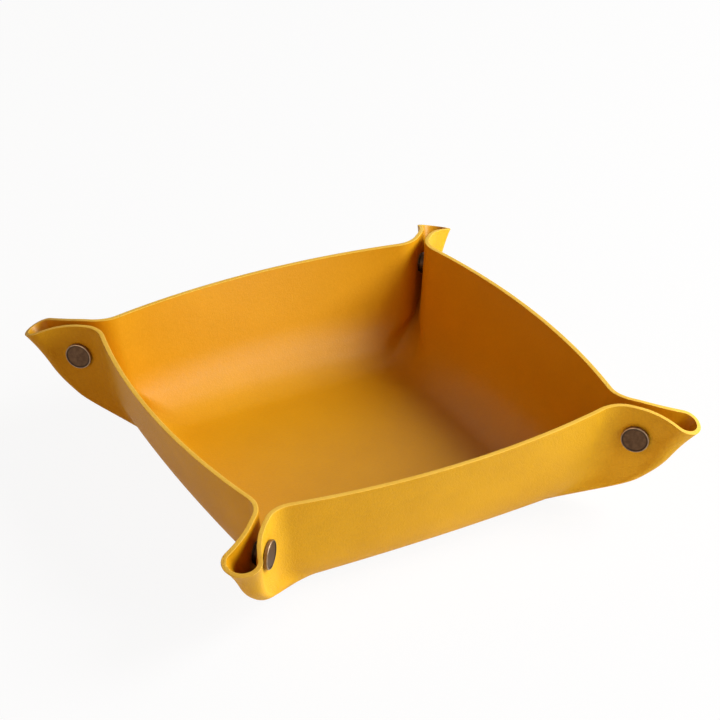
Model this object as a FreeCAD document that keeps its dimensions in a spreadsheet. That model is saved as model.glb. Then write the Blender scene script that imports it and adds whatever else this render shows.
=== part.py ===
import FreeCAD, Part
import math
import os
import Sketcher

# A valet tray: one square sheet of leather whose four corners are pinched into
# open spouts, each held by a press stud (cap, socket, ring spring, stud, post).
# Millimetres and degrees; Z up, the flat base on Z = 0, the sheet centred on the origin.

DRIVING = [
    ("leather_thickness", 2.0),
    ("base_half", 66.6),
    ("bend_radius", 17.0),
    ("wall_curve_radius", 60.0),
    ("bend_turn_share", 0.79),
    ("wall_lean", 73.2),
    ("rim_height", 55.0),
    ("wall_bow", 12.0),
    ("base_bow", 1.5),
    ("base_corner_radius", 10.0),
    ("pinch_height", 18.0),
    ("neck_start_height", 4.0),
    ("neck_full_height", 31.0),
    ("base_neck_share", 0.3),
    ("neck_gap", 3.6),
    ("flare_radius", 13.0),
    ("base_flare_radius", 24.0),
    ("loop_flare_radius", 12.5),
    ("loop_turn", 46.5),
    ("base_loop_turn", 3.0),
    ("corner_ease_share", 1.7),
    ("loop_ease_share", 1.5),
    ("drop_start", 120.0),
    ("drop_curve_radius", 85.0),
    ("snap_height", 39.0),
    ("cap_diameter", 12.5),
    ("cap_height", 1.5),
    ("cap_rim_width", 0.7),
    ("cap_recess", 0.25),
    ("cap_edge_radius", 0.4),
    ("rivet_diameter", 3.6),
    ("rivet_bore", 2.6),
    ("rivet_flare_diameter", 5.2),
    ("rivet_flare_thickness", 0.3),
    ("hole_clearance", 0.1),
    ("socket_diameter", 10.4),
    ("socket_floor", 0.5),
    ("socket_mouth_diameter", 6.4),
    ("socket_edge_radius", 0.6),
    ("groove_diameter", 7.8),
    ("groove_width", 0.8),
    ("groove_lip", 0.25),
    ("spring_diameter", 6.5),
    ("spring_wire", 0.7),
    ("spring_sweep", 320.0),
    ("stud_flange_diameter", 9.0),
    ("stud_flange_thickness", 0.55),
    ("stud_neck_diameter", 5.4),
    ("stud_neck_height", 1.0),
    ("stud_head_diameter", 6.0),
    ("stud_height", 2.55),
    ("stud_cavity_diameter", 4.4),
    ("stud_roof", 0.55),
    ("stud_taper", 0.4),
    ("post_flange_diameter", 9.6),
    ("post_flange_thickness", 0.9),
    ("post_edge_radius", 0.4),
    ("post_flare_diameter", 4.2),
    ("seat_clearance", 0.03),
    ("stud_clearance", 0.05),
]

doc = FreeCAD.newDocument("valet_tray")
sheet = doc.addObject("Spreadsheet::Sheet", "Sizes")
for row, (alias, value) in enumerate(DRIVING, start=1):
    cell = "B%d" % row
    sheet.set("A%d" % row, alias)
    sheet.set(cell, str(value))
    sheet.setAlias(cell, alias)
doc.recompute()


def size(alias):
    """The value of one driving dimension, read back from the sheet."""
    return float(sheet.get(alias))


t = size("leather_thickness")
lean = math.radians(size("wall_lean"))
turn_low = lean * size("bend_turn_share")
neck_length = size("cap_diameter")
neck_half = size("neck_gap") / 2 + t
over_rim = t
bend_steps = 5
wall_steps = 16
nodes = []


def bend_levels():
    """Heights at which the tight bend of the base ends and the wide one above it ends."""
    middle = size("bend_radius") * (1 - math.cos(turn_low))
    return middle, middle + size("wall_curve_radius") * (math.cos(turn_low) - math.cos(lean))


def wall_point(height):
    """Distance of the wall's middle from the centre plane, and its lean, at a height.

    The wall turns up on a tight arc, goes on turning on a wide one and then runs straight."""
    tight, wide = size("bend_radius"), size("wall_curve_radius")
    middle, top = bend_levels()
    if height <= middle:
        angle = math.acos(max(-1.0, 1 - height / tight))
        return size("base_half") + tight * math.sin(angle), angle
    out = size("base_half") + tight * math.sin(turn_low)
    if height <= top:
        angle = math.acos(math.cos(turn_low) - (height - middle) / wide)
        return out + wide * (math.sin(angle) - math.sin(turn_low)), angle
    out += wide * (math.sin(lean) - math.sin(turn_low))
    return out + (height - top) / math.tan(lean), lean


def corner_shape(height):
    """Turns and radii of the pinched corner at a height.

    The pinch eases in from the base to pinch_height; above that the two flaps
    are parallel at the neck, which grows to its full length, and the loop of the
    spout goes on opening."""

    def eased(x):
        x = min(max(x, 0.0), 1.0)
        return x * x * (3 - 2 * x)

    ease = eased(height / size("pinch_height"))
    low, full = size("neck_start_height"), size("neck_full_height")
    share = size("base_neck_share")
    share += (1 - share) * eased((height - low) / (full - low))
    rise = max(height / size("rim_height"), 0.0)
    shape = {}
    psi = -math.pi / 4 * (1 - ease)
    first = math.radians(size("base_loop_turn"))
    tau = first + (math.radians(size("loop_turn")) - first) * rise ** size("loop_ease_share")
    low_bow = math.radians(size("base_bow"))
    shape["bow"] = low_bow + (math.radians(size("wall_bow")) - low_bow) * rise
    shape["flare"] = size("flare_radius")
    shape["flare"] += (size("base_flare_radius") - size("flare_radius")) * (1 - ease)
    loop = size("loop_flare_radius")
    pinched = (neck_half + loop * (1 - math.cos(tau))) / math.cos(tau)
    left = (1 - ease) ** size("corner_ease_share")
    tip = pinched + (size("base_corner_radius") - pinched) * left
    turned = psi + tau
    neck = tip * math.cos(turned) - loop * (math.cos(psi) - math.cos(turned))
    shape["half_neck"] = neck_length / 2 * share
    shape["neck"] = neck - shape["half_neck"] * math.sin(psi)
    shape["psi"] = psi
    shape["tau"] = tau
    shape["loop"] = loop
    shape["tip"] = tip
    return shape


def half_corner(height, inset):
    """Arc end and middle points (d, s) of half a corner, from the wall to the tip.

    d runs out along the diagonal and s across it. Tangent pieces: flare arc, flat
    neck, loop arc, tip arc. An inset moves the whole line into the tray."""
    c = corner_shape(height)
    wall, _ = wall_point(height)
    psi, bow, turned = c["psi"], c["bow"], c["psi"] + c["tau"]

    def on_left(centre, radius, angle):
        return (centre[0] + radius * math.sin(angle), centre[1] - radius * math.cos(angle))

    half_x = c["half_neck"] * math.cos(psi)
    half_y = c["half_neck"] * math.sin(psi)
    start = -math.pi / 4 - bow
    flare_c = (-half_x - c["flare"] * math.sin(psi), c["neck"] - half_y + c["flare"] * math.cos(psi))
    loop_c = (half_x - c["loop"] * math.sin(psi), c["neck"] + half_y + c["loop"] * math.cos(psi))
    wall_end = on_left(flare_c, c["flare"], start)
    loop_end = on_left(loop_c, c["loop"], turned)
    tip_c = (loop_end[0] + c["tip"] * math.sin(turned), 0.0)
    fold = math.tan(bow / 2)
    shift = (math.sqrt(2) * wall - wall_end[1] * (1 - fold)) / (1 + fold) - wall_end[0]
    flare_c = (flare_c[0] + shift, flare_c[1])
    loop_c = (loop_c[0] + shift, loop_c[1])
    tip_c = (tip_c[0] + shift, tip_c[1])
    flare = c["flare"] + inset
    loop = c["loop"] + inset
    tip = c["tip"] - inset

    def on_right(angle):
        return (tip_c[0] - tip * math.sin(angle), tip_c[1] + tip * math.cos(angle))

    return {
        "flare": [on_left(flare_c, flare, a) for a in (start, (start + psi) / 2, psi)],
        "loop": [on_left(loop_c, loop, a) for a in (psi, (psi + turned) / 2, turned)],
        "tip": [on_right(a) for a in (turned, (turned - math.pi / 2) / 2, -math.pi / 2)],
        "wall": wall - inset,
        "neck": (shift, c["neck"] - inset),
    }


CORNER_TURN = {"front_left": -135.0, "front_right": -45.0, "back_right": 45.0, "back_left": 135.0}


def section_wire(height, inset, level):
    """One closed horizontal section of the sheet: 36 tangent arcs and lines."""
    half = half_corner(height, inset)
    edges = []

    def place(point, side, turn):
        d, s = point[0], point[1] * side
        c, n = math.cos(turn), math.sin(turn)
        return FreeCAD.Vector(d * c - s * n, d * n + s * c, level)

    def arc(points):
        edges.append(Part.Arc(*points).toShape())

    turns = [math.radians(a) for a in CORNER_TURN.values()]
    for turn, following in zip(turns, turns[1:] + turns[:1]):
        for name in ("flare", "loop", "tip"):
            if name == "loop":
                ends = (half["flare"][2], half["loop"][0])
                edges.append(Part.makeLine(*[place(p, -1, turn) for p in ends]))
            arc([place(p, -1, turn) for p in half[name]])
        for name in ("tip", "loop", "flare"):
            arc([place(p, 1, turn) for p in reversed(half[name])])
            if name == "loop":
                ends = (half["loop"][0], half["flare"][2])
                edges.append(Part.makeLine(*[place(p, 1, turn) for p in ends]))
        middle = turn + math.pi / 4
        crown = FreeCAD.Vector(half["wall"] * math.cos(middle), half["wall"] * math.sin(middle), level)
        arc([place(half["flare"][0], 1, turn), crown, place(half["flare"][0], -1, following)])
    return Part.Wire(edges)


def sheet_form(name, thickness):
    """A solid through the sections: the sheet's outside, or its inside when thickness is given."""
    top = size("rim_height") + over_rim
    bent = bend_levels()[0]
    heights = [size("bend_radius") * (1 - math.cos(turn_low * k / bend_steps)) for k in range(bend_steps)]
    heights += [bent + (top - bent) * k / wall_steps for k in range(wall_steps + 1)]
    sections = []
    for k, height in enumerate(heights):
        angle = wall_point(height)[1]
        inset = thickness * math.sin(angle) / math.sin(lean)
        level = height + thickness * math.cos(angle)
        section = doc.addObject("Part::Feature", "%s_section_%02d" % (name, k))
        section.Shape = section_wire(height, inset, level)
        sections.append(section)
    loft = doc.addObject("Part::Loft", name)
    loft.Sections = sections
    loft.Solid = True
    loft.Ruled = False
    loft.MaxDegree = 3
    return loft


def snap_frame(corner, side):
    """Placement of a press stud: Z along its axis from the post to the cap, origin on the post's face."""
    turn = math.radians(CORNER_TURN[corner])
    out = half_corner(size("snap_height"), 0.0)["neck"][0]
    along = FreeCAD.Vector(-math.sin(turn) * side, math.cos(turn) * side, 0)
    up = FreeCAD.Vector(0, 0, 1)
    rotation = FreeCAD.Rotation(up, along.cross(up), along, "ZXY")
    centre = FreeCAD.Vector(out * math.cos(turn), out * math.sin(turn), size("snap_height"))
    return FreeCAD.Placement(centre - along * (neck_half + size("post_flange_thickness")), rotation)


# The leather sheet: outside form less inside form, the rim trimmed to a shallow
# dome that falls away towards the four tips, and eight punched snap holes.
outer_form = sheet_form("outer_form", 0.0)
inner_form = sheet_form("inner_form", t)
doc.recompute()
tray_shell = doc.addObject("Part::Cut", "tray_shell")
tray_shell.Base = outer_form
tray_shell.Tool = inner_form

rim_top = size("rim_height")
curve = size("drop_curve_radius")
reach = half_corner(rim_top + over_rim, 0.0)["tip"][2][0] + neck_length
fall = math.asin(min((reach - size("drop_start")) / curve, 1.0))
over = rim_top + curve


def dome_point(angle):
    """A point of the rim's falling curve, at an angle from its level start."""
    return FreeCAD.Vector(
        size("drop_start") + curve * math.sin(angle), 0, rim_top - curve * (1 - math.cos(angle))
    )


dome_start = FreeCAD.Vector(0, 0, rim_top)
dome_end = dome_point(fall)
corners = [FreeCAD.Vector(dome_end.x, 0, over), FreeCAD.Vector(0, 0, over)]
dome_edges = [
    Part.makeLine(dome_start, dome_point(0.0)),
    Part.Arc(dome_point(0.0), dome_point(fall / 2), dome_end).toShape(),
    Part.makeLine(dome_end, corners[0]),
    Part.makeLine(corners[0], corners[1]),
    Part.makeLine(corners[1], dome_start),
]
dome_profile = doc.addObject("Part::Feature", "rim_profile")
dome_profile.Shape = Part.Face(Part.Wire(dome_edges))
rim_cutter = doc.addObject("Part::Revolution", "rim_cutter")
rim_cutter.Source = dome_profile
rim_cutter.Axis = FreeCAD.Vector(0, 0, 1)
rim_cutter.Angle = 360
rim_cutter.Solid = True
trimmed = doc.addObject("Part::Cut", "trimmed_shell")
trimmed.Base = tray_shell
trimmed.Tool = rim_cutter

SNAP_SIDE = {"front_left": 1, "front_right": -1, "back_right": -1, "back_left": 1}
punches = []
for corner, side in SNAP_SIDE.items():
    punch = doc.addObject("Part::Cylinder", corner + "_punch")
    punch.setExpression("Radius", "Sizes.rivet_diameter / 2 + Sizes.hole_clearance")
    punch.setExpression("Height", "3 * Sizes.leather_thickness + 2 * Sizes.neck_gap")
    frame = snap_frame(corner, side)
    back = (3 * t + 2 * size("neck_gap")) / 2 - neck_half - size("post_flange_thickness")
    punch.Placement = frame.multiply(FreeCAD.Placement(FreeCAD.Vector(0, 0, -back), FreeCAD.Rotation()))
    punches.append(punch)
punch_set = doc.addObject("Part::MultiFuse", "punch_set")
punch_set.Shapes = punches
leather = doc.addObject("Part::Cut", "leather_sheet")
leather.Base = trimmed
leather.Tool = punch_set
leather.Label = "leather_sheet"
nodes.append(leather)
doc.recompute()

# Heights along a press stud's axis, from the post's outer face to the cap's face.
FLAP_B_OUT = "Sizes.post_flange_thickness"
FLAP_B_IN = "(%s + Sizes.leather_thickness)" % FLAP_B_OUT
FLAP_A_IN = "(%s + Sizes.neck_gap)" % FLAP_B_IN
FLAP_A_OUT = "(%s + Sizes.leather_thickness)" % FLAP_A_IN
STUD_FOOT = "(%s + Sizes.seat_clearance)" % FLAP_B_IN
STUD_FLANGE = "(%s + Sizes.stud_flange_thickness)" % STUD_FOOT
SOCKET_MOUTH = "(%s + Sizes.stud_clearance)" % STUD_FLANGE
SOCKET_SEAT = "(%s - Sizes.seat_clearance)" % FLAP_A_IN
SOCKET_FLOOR = "(%s - Sizes.socket_floor)" % SOCKET_SEAT
GROOVE_LOW = "(%s + Sizes.groove_lip)" % SOCKET_MOUTH
GROOVE_HIGH = "(%s + Sizes.groove_width)" % GROOVE_LOW
CAP_FOOT = "(%s + Sizes.seat_clearance)" % FLAP_A_OUT
CAP_TOP = "(%s + Sizes.cap_height)" % CAP_FOOT
CAP_FLARE_TOP = "(%s - Sizes.seat_clearance)" % SOCKET_FLOOR
CAP_FLARE_END = "(%s - Sizes.rivet_flare_thickness)" % CAP_FLARE_TOP
POST_FLARE_FOOT = "(%s + Sizes.seat_clearance)" % STUD_FLANGE
POST_FLARE_END = "(%s + Sizes.rivet_flare_thickness)" % POST_FLARE_FOOT
POST_SEAT = "(%s - Sizes.seat_clearance)" % FLAP_B_OUT
STUD_TOP = "(%s + Sizes.stud_height)" % STUD_FOOT
STUD_ROOF = "(%s - Sizes.stud_roof)" % STUD_TOP
NECK_TOP = "(%s + Sizes.stud_neck_height)" % STUD_FLANGE
HEAD_LOW = "(%s + Sizes.stud_taper)" % NECK_TOP
HEAD_HIGH = "(%s - Sizes.stud_taper)" % STUD_TOP
TUBE = "Sizes.rivet_diameter / 2"
BORE = "Sizes.rivet_bore / 2"
TUBE_HOLE = "(Sizes.rivet_diameter + Sizes.hole_clearance) / 2"
CAP_RIM = "(Sizes.cap_diameter / 2 - Sizes.cap_rim_width)"
HEAD = "Sizes.stud_head_diameter / 2"

CAP = [
    (BORE, CAP_FLARE_END),
    ("Sizes.rivet_flare_diameter / 2", CAP_FLARE_END),
    ("Sizes.rivet_flare_diameter / 2", CAP_FLARE_TOP),
    (TUBE, CAP_FLARE_TOP),
    (TUBE, CAP_FOOT),
    ("Sizes.cap_diameter / 2", CAP_FOOT),
    ("Sizes.cap_diameter / 2", CAP_TOP),
    (CAP_RIM, CAP_TOP),
    (CAP_RIM + " - Sizes.cap_recess", CAP_TOP + " - Sizes.cap_recess"),
    ("0", CAP_TOP + " - Sizes.cap_recess"),
    ("0", CAP_FOOT),
    (BORE, CAP_FOOT),
]
SOCKET = [
    (TUBE_HOLE, SOCKET_SEAT),
    ("Sizes.socket_diameter / 2", SOCKET_SEAT),
    ("Sizes.socket_diameter / 2", SOCKET_MOUTH),
    ("Sizes.socket_mouth_diameter / 2", SOCKET_MOUTH),
    ("Sizes.socket_mouth_diameter / 2", GROOVE_LOW),
    ("Sizes.groove_diameter / 2", GROOVE_LOW),
    ("Sizes.groove_diameter / 2", GROOVE_HIGH),
    ("Sizes.socket_mouth_diameter / 2", GROOVE_HIGH),
    ("Sizes.socket_mouth_diameter / 2", SOCKET_FLOOR),
    (TUBE_HOLE, SOCKET_FLOOR),
]
STUD = [
    (TUBE_HOLE, STUD_FOOT),
    ("Sizes.stud_flange_diameter / 2", STUD_FOOT),
    ("Sizes.stud_flange_diameter / 2", STUD_FLANGE),
    ("Sizes.stud_neck_diameter / 2", STUD_FLANGE),
    ("Sizes.stud_neck_diameter / 2", NECK_TOP),
    (HEAD, HEAD_LOW),
    (HEAD, HEAD_HIGH),
    (HEAD + " - Sizes.stud_taper", STUD_TOP),
    ("0", STUD_TOP),
    ("0", STUD_ROOF),
    ("Sizes.stud_cavity_diameter / 2", STUD_ROOF),
    ("Sizes.stud_cavity_diameter / 2", STUD_FLANGE),
    (TUBE_HOLE, STUD_FLANGE),
]
POST = [
    (BORE, "0"),
    ("Sizes.post_flange_diameter / 2", "0"),
    ("Sizes.post_flange_diameter / 2", POST_SEAT),
    (TUBE, POST_SEAT),
    (TUBE, POST_FLARE_FOOT),
    ("Sizes.post_flare_diameter / 2", POST_FLARE_FOOT),
    ("Sizes.post_flare_diameter / 2", POST_FLARE_END),
    (BORE, POST_FLARE_END),
]


def worth(expression):
    """The number that an expression of the sheet's cells stands for now."""
    return float(sheet.evalExpression(expression))


def turned_piece(label, outline, frame, rounded, radius):
    """A turned metal piece: its half outline in a sketch, revolved, with rounded edges."""
    body = doc.addObject("PartDesign::Body", label)
    body.Label = label
    sketch = body.newObject("Sketcher::SketchObject", label + "_outline")
    plane = [f for f in body.Origin.OriginFeatures if f.Role == "XZ_Plane"][0]
    sketch.AttachmentSupport = [(plane, "")]
    sketch.MapMode = "FlatFace"
    points = [FreeCAD.Vector(worth(r), worth(w), 0) for r, w in outline]
    for first, second in zip(points, points[1:] + points[:1]):
        sketch.addGeometry(Part.LineSegment(first, second), False)
    count = len(points)
    for k in range(count):
        sketch.addConstraint(Sketcher.Constraint("Coincident", k, 2, (k + 1) % count, 1))
    for k, (r, w) in enumerate(outline):
        if r == "0":
            sketch.addConstraint(Sketcher.Constraint("PointOnObject", k, 1, -2))
        else:
            index = sketch.addConstraint(Sketcher.Constraint("DistanceX", -1, 1, k, 1, points[k].x))
            sketch.setExpression("Constraints[%d]" % index, r)
        if w == "0":
            sketch.addConstraint(Sketcher.Constraint("PointOnObject", k, 1, -1))
        else:
            index = sketch.addConstraint(Sketcher.Constraint("DistanceY", -1, 1, k, 1, points[k].y))
            sketch.setExpression("Constraints[%d]" % index, w)
    turned = body.newObject("PartDesign::Revolution", label + "_turned")
    turned.Profile = sketch
    turned.ReferenceAxis = (sketch, ["V_Axis"])
    turned.Angle = 360
    doc.recompute()
    wanted = [points[k] for k in rounded]
    names = []
    for number, edge in enumerate(turned.Shape.Edges, start=1):
        if not isinstance(edge.Curve, Part.Circle):
            continue
        at = FreeCAD.Vector(edge.Curve.Radius, edge.Curve.Center.z, 0)
        if any(at.isEqual(p, size("seat_clearance") / 2) for p in wanted):
            names.append("Edge%d" % number)
    soft = body.newObject("PartDesign::Fillet", label + "_rounded")
    soft.Base = (turned, names)
    soft.setExpression("Radius", radius)
    body.Tip = soft
    body.Placement = frame
    nodes.append(body)
    return body


# One press stud per corner: the cap half (cap, socket, ring spring) sits on one
# flap and the stud half (stud, post) on the other.
for corner, side in SNAP_SIDE.items():
    frame = snap_frame(corner, side)
    turned_piece(corner + "_cap", CAP, frame, [6], "Sizes.cap_edge_radius")
    turned_piece(corner + "_socket", SOCKET, frame, [2], "Sizes.socket_edge_radius")
    spring = doc.addObject("Part::Torus", corner + "_spring")
    spring.Label = corner + "_spring"
    spring.setExpression("Radius1", "Sizes.spring_diameter / 2")
    spring.setExpression("Radius2", "Sizes.spring_wire / 2")
    spring.setExpression("Angle3", "Sizes.spring_sweep")
    height = worth(GROOVE_LOW) + size("groove_width") / 2
    spring.Placement = frame.multiply(FreeCAD.Placement(FreeCAD.Vector(0, 0, height), FreeCAD.Rotation()))
    nodes.append(spring)
    turned_piece(corner + "_stud", STUD, frame, [2], "Sizes.seat_clearance * 5")
    turned_piece(corner + "_post", POST, frame, [1], "Sizes.post_edge_radius")

doc.recompute()
for item in doc.Objects:
    if "Invalid" in item.State or "Error" in item.State:
        raise RuntimeError("not built: %s %s" % (item.Name, item.State))
os.makedirs("parts", exist_ok=True)
for node in nodes:
    shape = node.Shape
    if shape.isNull() or not shape.isValid() or len(shape.Solids) != 1:
        raise RuntimeError("not one sound solid: %s" % node.Label)
    shape.exportStep(os.path.join("parts", node.Label + ".step"))
    box = shape.BoundBox
    print("%s volume %.2f box %.2f %.2f %.2f" % (node.Label, shape.Volume, box.XLength, box.YLength, box.ZLength))
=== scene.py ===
import bmesh
import bpy
import numpy as np
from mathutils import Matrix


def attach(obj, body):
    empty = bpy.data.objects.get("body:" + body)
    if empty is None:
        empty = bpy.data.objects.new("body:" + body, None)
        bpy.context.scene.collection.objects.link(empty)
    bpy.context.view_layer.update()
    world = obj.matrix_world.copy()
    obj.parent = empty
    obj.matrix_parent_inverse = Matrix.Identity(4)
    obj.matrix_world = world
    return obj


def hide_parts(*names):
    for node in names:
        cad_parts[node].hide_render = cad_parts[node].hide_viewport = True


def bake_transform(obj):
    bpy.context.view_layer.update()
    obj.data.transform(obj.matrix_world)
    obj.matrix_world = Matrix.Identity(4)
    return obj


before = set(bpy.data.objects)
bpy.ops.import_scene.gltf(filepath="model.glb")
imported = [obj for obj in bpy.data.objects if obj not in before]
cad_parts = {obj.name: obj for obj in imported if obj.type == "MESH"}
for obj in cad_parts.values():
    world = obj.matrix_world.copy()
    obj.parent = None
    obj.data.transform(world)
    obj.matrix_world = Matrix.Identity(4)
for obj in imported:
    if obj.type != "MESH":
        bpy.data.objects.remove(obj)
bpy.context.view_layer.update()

# Leather sheet: one square of vegetable-tanned hide, 2 mm thick, its walls bent up
# and its corners pinched into open spouts. Nothing is sewn; the press studs hold it.
MM = 0.001
THICK = 2.0
BASE_HALF, LEAN, RIM_HIGH = 59.15, np.radians(73.2), 55.0
TIGHT, WIDE, LOW_TURN = 28.0, 60.0, np.radians(60.0)
BEND_MID = TIGHT * (1 - np.cos(LOW_TURN))
BEND_TOP = BEND_MID + WIDE * (np.cos(LOW_TURN) - np.cos(LEAN))
PINCH_HIGH, NECK_HALF, NECK_LONG = 18.0, 3.8, 12.5
NECK_SHARE, NECK_FROM, NECK_OVER = 0.3, 4.0, 27.0
BASE_BOW, RIM_BOW = np.radians(1.5), np.radians(12.0)
FLARE, BASE_FLARE, LOOP, BASE_TIP, TIP_EASE = 13.0, 24.0, 12.5, 10.0, 1.7
BASE_LOOP_TURN, RIM_LOOP_TURN, LOOP_EASE = np.radians(3.0), np.radians(46.5), 1.5
PART_EARLY, PART_FROM, PART_OVER = 7.5, 40.0, 9.0
DROP_START, DROP_CURVE = 120.0, 85.0
SNAP_HIGH, DIMPLE_DEEP, DIMPLE_OUT, DIMPLE_SOFT = 39.0, 0.4, 10.5, 4.5
EDGE_HIGH, EDGE_SQUARE, EDGE_CROWN = 0.22, 0.35, 0.5
BASE_RINGS, BEND_ROWS, WALL_ROWS = 10, 12, 32
NECK_MIDDLE, TIP_END, FIRST_RING, RIM_PASSES = 2.5, 5.0, 0.03, 12
# The angle of each corner's diagonal, and which of its flaps has the cap: 1 left, -1 right.
CORNERS = {
    "front_left": (-135, 1),
    "front_right": (-45, -1),
    "back_right": (45, -1),
    "back_left": (135, 1),
}


def wall_lean(high):
    """Angle of the wall's middle from level: it turns on a tight arc, then a wide one, then stays."""
    tight = np.arccos(np.clip(1 - high / TIGHT, -1, 1))
    wide = np.arccos(np.clip(np.cos(LOW_TURN) - (high - BEND_MID) / WIDE, -1, 1))
    return np.where(high < BEND_MID, tight, np.where(high < BEND_TOP, wide, LEAN))


def eased(x):
    """Smooth step from 0 to 1."""
    x = np.clip(x, 0, 1)
    return x * x * (3 - 2 * x)


def half_corner(along, high, inset):
    """Diagonal and cross distance (d, s) of half a corner's section at a height.

    along runs 0 to 5 over five tangent pieces: bowed wall, flare arc, flat neck,
    loop arc and tip arc. The pinch eases in up to PINCH_HIGH; above it the neck
    grows and the loop opens. Above the snap the flaps part sooner: the neck ends
    earlier, and a wider loop arc, still tangent to it, meets the same tip circle.
    An inset moves the line into the tray."""
    ease = eased(high / PINCH_HIGH)
    neck_long = NECK_LONG * (NECK_SHARE + (1 - NECK_SHARE) * eased((high - NECK_FROM) / NECK_OVER))
    rise = np.maximum(high / RIM_HIGH, 0)
    psi = -np.pi / 4 * (1 - ease)
    tau = BASE_LOOP_TURN + (RIM_LOOP_TURN - BASE_LOOP_TURN) * rise**LOOP_EASE
    bow = BASE_BOW + (RIM_BOW - BASE_BOW) * rise
    flare = FLARE + (BASE_FLARE - FLARE) * (1 - ease)
    pinched = (NECK_HALF + LOOP * (1 - np.cos(tau))) / np.cos(tau)
    freed = PART_EARLY * eased((high - PART_FROM) / PART_OVER)
    spread = (LOOP + pinched) * np.sin(tau) + freed
    loop = (spread**2 + NECK_HALF**2 - pinched**2) / (2 * (pinched - NECK_HALF))
    tau = np.arcsin(spread / (loop + pinched))
    turned = psi + tau
    tip = pinched + (BASE_TIP - pinched) * (1 - ease) ** TIP_EASE
    half_d, half_s = neck_long / 2 * np.cos(psi), neck_long / 2 * np.sin(psi)
    reach = half_d - freed
    neck = tip * np.cos(turned) - loop * (np.cos(psi) - np.cos(turned)) - half_s
    lean = wall_lean(high)
    wall = BASE_HALF + TIGHT * np.sin(np.minimum(lean, LOW_TURN))
    wall = wall + WIDE * (np.sin(np.maximum(lean, LOW_TURN)) - np.sin(LOW_TURN))
    wall = wall + np.maximum(high - BEND_TOP, 0) / np.tan(LEAN)
    flare_d, flare_s = -half_d - flare * np.sin(psi), neck - half_s + flare * np.cos(psi)
    loop_d, loop_s = reach - loop * np.sin(psi), neck + half_s + loop * np.cos(psi)
    tip_d = loop_d + loop * np.sin(turned) + tip * np.sin(turned)
    first = -np.pi / 4 - bow
    end_d, end_s = flare_d + flare * np.sin(first), flare_s - flare * np.cos(first)
    fold = np.tan(bow / 2)
    out = (np.sqrt(2) * wall - end_s * (1 - fold)) / (1 + fold) - end_d
    bow_radius = (end_d + out - end_s) / np.sqrt(2) / np.sin(bow)
    part = np.minimum(np.floor(along), 4)
    f = along - part
    wall_x = (bow_radius - inset) * np.sin(bow * f)
    wall_y = wall - bow_radius + (bow_radius - inset) * np.cos(bow * f)
    at_flare, at_loop = first + (psi - first) * f, psi + tau * f
    at_tip = turned - (turned + np.pi / 2) * f
    line = np.stack(
        np.broadcast_arrays(
            (wall_x + wall_y) / np.sqrt(2),
            out + flare_d + (flare + inset) * np.sin(at_flare),
            out - half_d + (half_d + reach) * f + inset * np.sin(psi),
            out + loop_d + (loop + inset) * np.sin(at_loop),
            out + tip_d - (tip - inset) * np.sin(at_tip),
        )
    )
    across = np.stack(
        np.broadcast_arrays(
            (wall_y - wall_x) / np.sqrt(2),
            flare_s - (flare + inset) * np.cos(at_flare),
            neck + half_s * (2 * f - 1) - inset * np.cos(psi),
            loop_s - (loop + inset) * np.cos(at_loop),
            (tip - inset) * np.cos(at_tip),
        )
    )
    which = np.broadcast_to(part, line.shape[1:]).astype(int)[None]
    return np.take_along_axis(line, which, 0)[0], np.take_along_axis(across, which, 0)[0]


def rim_height(d, s):
    """The rim's level: flat over the middle, then falling on an arc towards the tips."""
    over = np.maximum(np.hypot(d, s) - DROP_START, 0)
    return RIM_HIGH - DROP_CURVE + np.sqrt(DROP_CURVE**2 - over**2)


# Steps of the grid over the five pieces of half a corner; eight halves go round the tray.
STEPS = (26, 10, 12, 9, 14)
HALF_STEPS = sum(STEPS)
outward = np.concatenate([k + np.arange(n) / n for k, n in enumerate(STEPS)])
inward = np.concatenate([[TIP_END], outward[:0:-1]])
along = np.tile(np.concatenate([outward, inward]), 4)[None]
side = np.tile(np.repeat([-1.0, 1.0], HALF_STEPS), 4)[None]
turn = np.repeat(np.radians([a for a, _ in CORNERS.values()]), 2 * HALF_STEPS)[None]
snap_out = float(half_corner(np.array(NECK_MIDDLE), np.array(SNAP_HIGH), 0.0)[0])


def skin(inner):
    """One face of the sheet as a grid: base rings, bend rows, then wall rows up to the rim.

    The inner face is the outer one moved in by the leather's thickness. Around each
    snap the outer face is pressed in by a soft round dimple."""

    def drawn(high):
        lean = wall_lean(high)
        inset = THICK * np.sin(lean) / np.sin(LEAN) * inner
        d, s = half_corner(along, high, inset)
        return d, s, high + THICK * np.cos(lean) * inner

    top = np.full_like(along, RIM_HIGH)
    for _ in range(RIM_PASSES):
        d, s, z = drawn(top)
        top = top + rim_height(d, s) - EDGE_HIGH - z
    leans = LOW_TURN * np.arange(BEND_ROWS + 1)[:, None] / BEND_ROWS
    bend = TIGHT * (1 - np.cos(leans)) + 0 * along
    wall = BEND_MID + (top - BEND_MID) * np.linspace(0, 1, WALL_ROWS + 1)[1:, None]
    d, s, z = drawn(np.concatenate([bend, wall]))
    off = np.hypot(d - snap_out, z - SNAP_HIGH)
    s = s - DIMPLE_DEEP * eased((DIMPLE_OUT - off) / DIMPLE_SOFT) * (1 - inner)
    rings = np.linspace(FIRST_RING, 1, BASE_RINGS + 1)[:-1, None]
    d, s = np.concatenate([rings * d[:1], d]), np.concatenate([rings * s[:1], s])
    z = np.concatenate([z[:1] + 0 * rings, z])
    s = s * side
    x, y = d * np.cos(turn) - s * np.sin(turn), d * np.sin(turn) + s * np.cos(turn)
    return np.stack([x, y, z], -1) * MM


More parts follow.
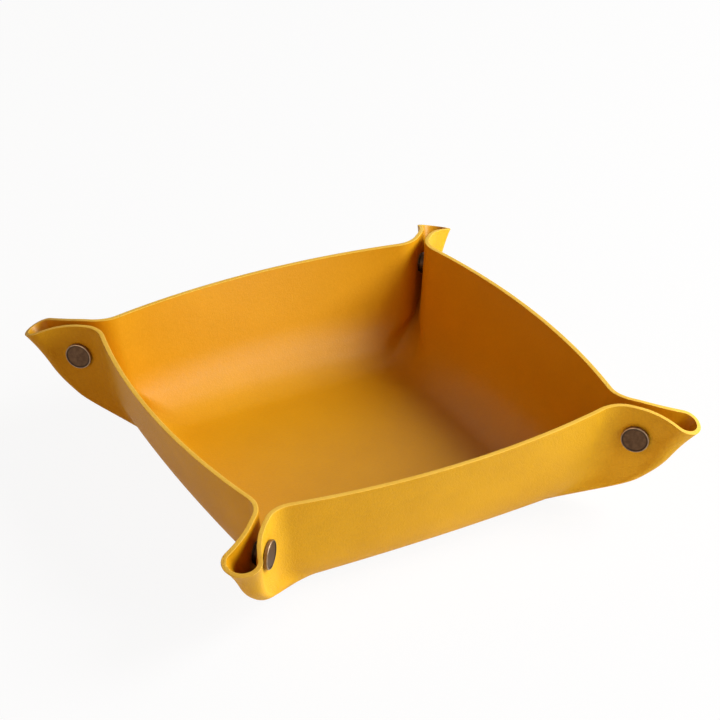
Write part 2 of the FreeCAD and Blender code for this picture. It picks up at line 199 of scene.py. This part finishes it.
outside, inside = skin(0.0), skin(1.0)
bead = np.radians([18, 42, 66, 90, 114, 138, 162])[:, None, None]
middle, half = (outside[-1] + inside[-1]) / 2, (outside[-1] - inside[-1]) / 2
edge = middle + half * np.sign(np.cos(bead)) * np.abs(np.cos(bead)) ** EDGE_SQUARE
edge = edge + np.array([0, 0, EDGE_HIGH * MM]) * np.sin(bead) ** EDGE_CROWN
hide = np.concatenate([outside, edge, inside[::-1]])
ROWS, COLUMNS = hide.shape[:2]

down = np.gradient(hide, axis=0)
round_about = (np.roll(hide, -1, 1) - np.roll(hide, 1, 1)) / 2
hide_normal = np.cross(round_about, down)
hide_normal /= np.maximum(np.linalg.norm(hide_normal, axis=-1, keepdims=True), 1e-12)
hide_normal[:BASE_RINGS], hide_normal[-BASE_RINGS:] = (0, 0, -1), (0, 0, 1)
row, column = np.meshgrid(np.arange(ROWS - 1), np.arange(COLUMNS), indexing="ij")
after = (column + 1) % COLUMNS
here, above = row * COLUMNS, (row + 1) * COLUMNS
quads = np.stack([here + column, here + after, above + after, above + column], -1)
# Material slots of the faces: 0 outside, 1 edge, 2 inside.
layer = np.where(row < len(outside) - 1, 0, np.where(row < ROWS - len(inside), 1, 2))


def leather_piece(name, keep, floors=()):
    """A mesh of the kept quads of the hide's grid, with the whole hide's smooth normals."""
    faces, layers = quads[keep], layer[keep]
    used, index = np.unique(faces, return_inverse=True)
    mesh = bpy.data.meshes.new(name)
    loose = [np.searchsorted(used, floor).tolist() for floor in floors]
    mesh.from_pydata(hide.reshape(-1, 3)[used], [], index.reshape(-1, 4).tolist() + loose)
    marks = np.concatenate([layers, [0, 2][: len(loose)]]).astype(np.int32)
    mesh.polygons.foreach_set("material_index", marks)
    kept = mesh.attributes.new("hide_normal", "FLOAT_VECTOR", "POINT")
    kept.data.foreach_set("vector", hide_normal.reshape(-1, 3)[used].astype(np.float32).ravel())
    return mesh


def shown_piece(name, mesh):
    """Puts a mesh in the scene, shaded by the normals that it carries."""
    normal = np.empty(len(mesh.vertices) * 3, np.float32)
    mesh.attributes["hide_normal"].data.foreach_get("vector", normal)
    normal = normal.reshape(-1, 3)
    normal /= np.maximum(np.linalg.norm(normal, axis=1, keepdims=True), 1e-9)
    mesh.polygons.foreach_set("use_smooth", np.ones(len(mesh.polygons), bool))
    mesh.normals_split_custom_set_from_vertices(normal.tolist())
    piece = bpy.data.objects.new(name, mesh)
    bpy.context.scene.collection.objects.link(piece)
    return piece


class Flow:
    """A value on its way through a material: sums, differences and products of it are Math nodes."""

    def __init__(self, tree, socket):
        self.tree, self.socket = tree, socket

    def node(self, kind, inputs, output=0, **settings):
        """Adds one node, with values or other flows on its inputs, and gives one of its outputs."""
        made = self.tree.nodes.new(kind)
        for key, value in settings.items():
            setattr(made, key, value)
        for key, value in inputs.items():
            if isinstance(value, Flow):
                self.tree.links.new(value.socket, made.inputs[key])
            else:
                made.inputs[key].default_value = value
        return Flow(self.tree, made.outputs[output])

    def math(self, operation, other=0.0):
        """One Math node of this value and another."""
        return self.node("ShaderNodeMath", {0: self, 1: other}, operation=operation)

    def __add__(self, other):
        return self.math("ADD", other)

    def __sub__(self, other):
        return self.math("SUBTRACT", other)

    def __rsub__(self, other):
        return self.node("ShaderNodeMath", {0: other, 1: self}, operation="SUBTRACT")

    def __mul__(self, other):
        return self.math("MULTIPLY", other)

    __radd__, __rmul__ = __add__, __mul__

    def ramp(self, low, high, start=0.0, stop=1.0):
        """Maps low..high onto start..stop, held at the ends."""
        inputs = {"Value": self, "From Min": low, "From Max": high, "To Min": start, "To Max": stop}
        return self.node("ShaderNodeMapRange", inputs)

    def mix(self, first, second):
        """A colour between two, by this value."""
        return self.node("ShaderNodeMix", {0: self, 6: first, 7: second}, 2, data_type="RGBA")

    def noise(self, scale, detail=3.0, rough=0.55):
        """Fractal noise at this place, with scale waves to the metre."""
        inputs = {"Vector": self, "Scale": scale, "Detail": detail, "Roughness": rough}
        return self.node("ShaderNodeTexNoise", inputs)


def new_finish(name):
    """A material with its shader and the flow of Object coordinates."""
    material = bpy.data.materials.new(name)
    material.use_nodes = True
    tree = material.node_tree
    place = Flow(tree, tree.nodes.new("ShaderNodeTexCoord").outputs["Object"])
    return material, tree.nodes["Principled BSDF"], place


def join(flow, shader, socket):
    """Feeds a flow into one of a shader's inputs."""
    flow.tree.links.new(flow.socket, shader.inputs[socket])


def leather_finish(name, dyes, rough, shine, grain, fineness):
    """Hide: blotches of dye, fine speckle, and a grain of small cells with pores between."""
    material, shader, place = new_finish(name)
    blotch = place.noise(38.0, 4.0).ramp(0.25, 0.75)
    speck = place.noise(900.0, 2.0).ramp(0.3, 0.7)
    join((blotch * 0.6 + speck * 0.4).mix(*dyes), shader, "Base Color")
    cells = place.node("ShaderNodeTexVoronoi", {"Vector": place, "Scale": fineness}, "Distance")
    fibres = place.noise(fineness * 0.6, 5.0, 0.65)
    height = cells.ramp(0.0, 0.6) * 0.5 + fibres
    join(speck.ramp(0, 1, rough - 0.05, rough + 0.07), shader, "Roughness")
    relief = {"Strength": grain, "Distance": 0.0004, "Height": height}
    join(place.node("ShaderNodeBump", relief, "Normal"), shader, "Normal")
    shader.inputs["Specular IOR Level"].default_value = shine
    return material


OUTSIDE_DYES = (0.655, 0.340, 0.008, 1), (0.795, 0.440, 0.014, 1)
EDGE_DYES = (0.86, 0.50, 0.04, 1), (0.95, 0.62, 0.09, 1)
INSIDE_DYES = (0.66, 0.310, 0.003, 1), (0.74, 0.360, 0.005, 1)
finishes = [
    leather_finish("leather_outside", OUTSIDE_DYES, rough=0.55, shine=0.15, grain=0.5, fineness=1500.0),
    leather_finish("leather_edge", EDGE_DYES, rough=0.6, shine=0.25, grain=0.4, fineness=2200.0),
    leather_finish("leather_inside", INSIDE_DYES, rough=0.37, shine=0.30, grain=0.14, fineness=1300.0),
]
half_of = column // HALF_STEPS
flap_halves = [2 * k + (1 if grip > 0 else 0) for k, (_, grip) in enumerate(CORNERS.values())]
walls = (row >= BASE_RINGS) & (row < ROWS - 1 - BASE_RINGS)
flap = np.isin(half_of, flap_halves) & walls
floors = [np.arange(COLUMNS)[::-1], np.arange(COLUMNS) + (ROWS - 1) * COLUMNS]
sheet = shown_piece("leather_sheet_hide", leather_piece("leather_sheet_hide", ~flap, floors))
flaps = []
# The flap with the cap is cut in three at each corner. Every piece has its cutting planes
# (out, up, distance) and the slope of its blend's weight.
CUT_OUT, CUT_LOW, CUT_HIGH, WALL_MIDDLE = 118.0, 9.0, 21.0, 71.0
TOWARDS, UPWARDS = 1 / (CUT_OUT - WALL_MIDDLE), 1 / (CUT_HIGH - CUT_LOW)
FLAP_CUTS = {
    "spout": (((1, 0, CUT_OUT),), (-UPWARDS, UPWARDS)),
    "upper_wall": (((-1, 0, -CUT_OUT), (0, 1, CUT_HIGH)), (TOWARDS, 0.0)),
    "lower_wall": (((-1, 0, -CUT_OUT), (0, -1, -CUT_HIGH)), (TOWARDS, UPWARDS)),
}
upright = np.array([0, 0, 1.0])
for (corner, (angle, _)), half_index in zip(CORNERS.items(), flap_halves):
    diagonal = np.array([np.cos(np.radians(angle)), np.sin(np.radians(angle)), 0])
    whole = leather_piece(corner, (half_of == half_index) & walls)
    for name, (cuts, gradient) in FLAP_CUTS.items():
        shape = bmesh.new()
        shape.from_mesh(whole)
        for out, up, distance in cuts:
            facing = diagonal * out + upright * up
            every = shape.verts[:] + shape.edges[:] + shape.faces[:]
            plane = {"plane_co": facing * distance * MM, "plane_no": facing}
            bmesh.ops.bisect_plane(shape, geom=every, dist=1e-7, clear_inner=True, **plane)
        mesh = bpy.data.meshes.new("leather_%s_%s" % (corner, name))
        shape.to_mesh(mesh)
        shape.free()
        piece = shown_piece(mesh.name, mesh)
        start = np.array([WALL_MIDDLE, 0] if name == "upper_wall" else [CUT_OUT, CUT_LOW])
        corner + "_cap_half"
        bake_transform(piece)
        flaps.append(piece)
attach(sheet, "sheet")
for piece in [sheet] + flaps:
    for finish in finishes:
        piece.data.materials.append(finish)
    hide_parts("leather_sheet")

# Press studs: turned and stamped brass with a dark antique plating, rubbed bright on
# the caps' raised rims, where thumbs rub, with a painted highlight in the same bright ring;
# a darker ring lies at the groove inside the rims. Each is riveted through a punched hole in its flap.
DARK_PLATING, PALE_PLATING = (0.062, 0.029, 0.012, 1), (0.130, 0.070, 0.034, 1)
RUBBED_BRASS_AND_GLINT, GROOVE_DARK = (0.46, 0.33, 0.21, 1), (0.03, 0.018, 0.01, 1)
RUBBED_AND_GLINT_RING, GROOVE_DARK_RING = (5.7, 5.95, 6.15, 6.4), (4.9, 5.4, 5.5, 5.7)
DARK_STEEL, PALE_STEEL = (0.42, 0.42, 0.43, 1), (0.62, 0.62, 0.63, 1)


def ring(radius, start, full, fading, stop):
    """1 between two radii, with soft flanks on both sides."""
    return radius.ramp(start, full) * radius.ramp(stop, fading)


bronze, shader, place = new_finish("antique_bronze")
x, y, z = (place.node("ShaderNodeSeparateXYZ", {"Vector": place}, k) for k in range(3))
out = (x.math("ABSOLUTE") + y.math("ABSOLUTE")) * np.sqrt(0.5) - snap_out * MM
up = z - SNAP_HIGH * MM
from_axis = (out * out + up * up).math("SQRT") * (1 / MM)
patina = place.noise(420.0, 5.0, 0.6).ramp(0.3, 0.7)
fine = place.noise(3800.0, 2.0).ramp(0.3, 0.7)
# A bright brass ring on the caps' raised rims: rubbed plating, and a painted highlight.
rubbed_and_glint = ring(from_axis, *RUBBED_AND_GLINT_RING) * patina.ramp(0, 1, 0.35, 1.0)
# A darker ring at the groove just inside the caps' raised rims.
plating = ring(from_axis, *GROOVE_DARK_RING).mix(patina.mix(DARK_PLATING, PALE_PLATING), GROOVE_DARK)
join(rubbed_and_glint.mix(plating, RUBBED_BRASS_AND_GLINT), shader, "Base Color")
join(patina.ramp(0, 1, 0.36, 0.48) + fine * 0.05 - rubbed_and_glint * 0.12, shader, "Roughness")
shader.inputs["Metallic"].default_value = 0.85
relief = {"Strength": 0.12, "Distance": 0.0001, "Height": patina + fine * 0.3}
join(place.node("ShaderNodeBump", relief, "Normal"), shader, "Normal")
steel, shader, place = new_finish("spring_wire")
join(place.noise(2500.0).mix(DARK_STEEL, PALE_STEEL), shader, "Base Color")
shader.inputs["Metallic"].default_value = 1.0
shader.inputs["Roughness"].default_value = 0.3
for corner in CORNERS:
    for name in ("cap", "socket", "stud", "post", "spring"):
        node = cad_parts["%s_%s" % (corner, name)]
        node.data.materials.clear()
        node.data.materials.append(steel if name == "spring" else bronze)

# Floor and room: a pale sweep that reads as white to the camera and to the metal,
# and keeps the tray's soft shadow.
ROOM_LIGHT, ROOM_TINT, WHITE = 0.09, (1, 0.62, 0.38, 1), (1, 1, 1, 1)
FLOOR_GLOW, LAMPS_FACE = 0.92, (0, 0, 0.02)
scene = bpy.context.scene
bpy.ops.mesh.primitive_plane_add(size=12, location=(0, 0, -0.0002))
floor = bpy.context.object
floor.name = "studio_floor"
paper, shader, place = new_finish("pale_paper")
shader.inputs["Base Color"].default_value = (0.90, 0.90, 0.90, 1)
shader.inputs["Roughness"].default_value = 0.9
shader.inputs["Specular IOR Level"].default_value = 0.1
glow = place.node("ShaderNodeEmission", {"Color": WHITE, "Strength": 1.0})


def plain_view(tree):
    """1 for rays from the camera, a mirror or clear glass, 0 for rays that carry light."""
    rays = tree.nodes.new("ShaderNodeLightPath").outputs
    seen = Flow(tree, rays["Is Camera Ray"])
    for kind in ("Is Glossy Ray", "Is Transmission Ray"):
        seen = seen.math("MAXIMUM", Flow(tree, rays[kind]))
    return seen


seen = plain_view(paper.node_tree)
lit = Flow(paper.node_tree, shader.outputs[0])
blend = place.node("ShaderNodeMixShader", {0: seen * FLOOR_GLOW, 1: lit, 2: glow})
paper.node_tree.links.new(blend.socket, paper.node_tree.nodes["Material Output"].inputs["Surface"])
floor.data.materials.append(paper)
scene.world = scene.world or bpy.data.worlds.new("studio")
scene.world.use_nodes = True
sky = scene.world.node_tree
rays = plain_view(sky)
join(rays.ramp(0, 1, ROOM_LIGHT, 1.0), sky.nodes["Background"], "Strength")
join(rays.mix(ROOM_TINT, WHITE), sky.nodes["Background"], "Color")


def soft_box(name, spot, wide, power, colour=(1, 1, 1)):
    """A square area lamp at a spot, turned to face the tray."""
    lamp = bpy.data.lights.new(name, "AREA")
    lamp.energy, lamp.size, lamp.color = power, wide, colour
    made = bpy.data.objects.new(name, lamp)
    made.location = spot
    way = np.array(LAMPS_FACE) - np.array(spot)
    tip_up, swing = np.arccos(-way[2] / np.linalg.norm(way)), np.arctan2(way[1], way[0]) - np.pi / 2
    made.rotation_euler = (tip_up, 0, swing)
    scene.collection.objects.link(made)


soft_box("key", (1.20, -0.50, 0.92), 0.8, 28.5)
soft_box("front", (0.78, -1.13, 0.56), 0.55, 7.5)
soft_box("left_fill", (-1.20, -0.50, 0.45), 0.8, 3.8, (1, 0.55, 0.30))

# Camera: a long lens a little under a metre away, looking down on the tray with its
# front left corner nearest. It aims slightly above the tray, as in the photograph.
turn_about, tilt, away = np.radians(-28.62), np.radians(32.10), 0.9756
LOOK_AT, AIM_RIGHT, AIM_ABOVE = (0, 0, 0.020), 0.00446, 0.03136
SENSOR_MM, FOCAL_PIXELS, PICTURE_PIXELS = 36, 2136.0, 720
back = np.array([np.sin(turn_about) * np.cos(tilt), -np.cos(turn_about) * np.cos(tilt), np.sin(tilt)])
eye = np.array(LOOK_AT) + back * away
right = np.cross(-back, [0, 0, 1])
right /= np.linalg.norm(right)
look = -back + AIM_RIGHT * right + AIM_ABOVE * np.cross(right, -back)
look /= np.linalg.norm(look)
camera = bpy.data.objects.new("camera", bpy.data.cameras.new("camera"))
camera.location = eye
camera.rotation_euler = (np.arccos(-look[2]), 0, np.arctan2(look[1], look[0]) - np.pi / 2)
camera.data.lens = SENSOR_MM * FOCAL_PIXELS / PICTURE_PIXELS
camera.data.clip_start = 0.01
scene.collection.objects.link(camera)
scene.camera = camera
scene.view_settings.view_transform = "Standard"
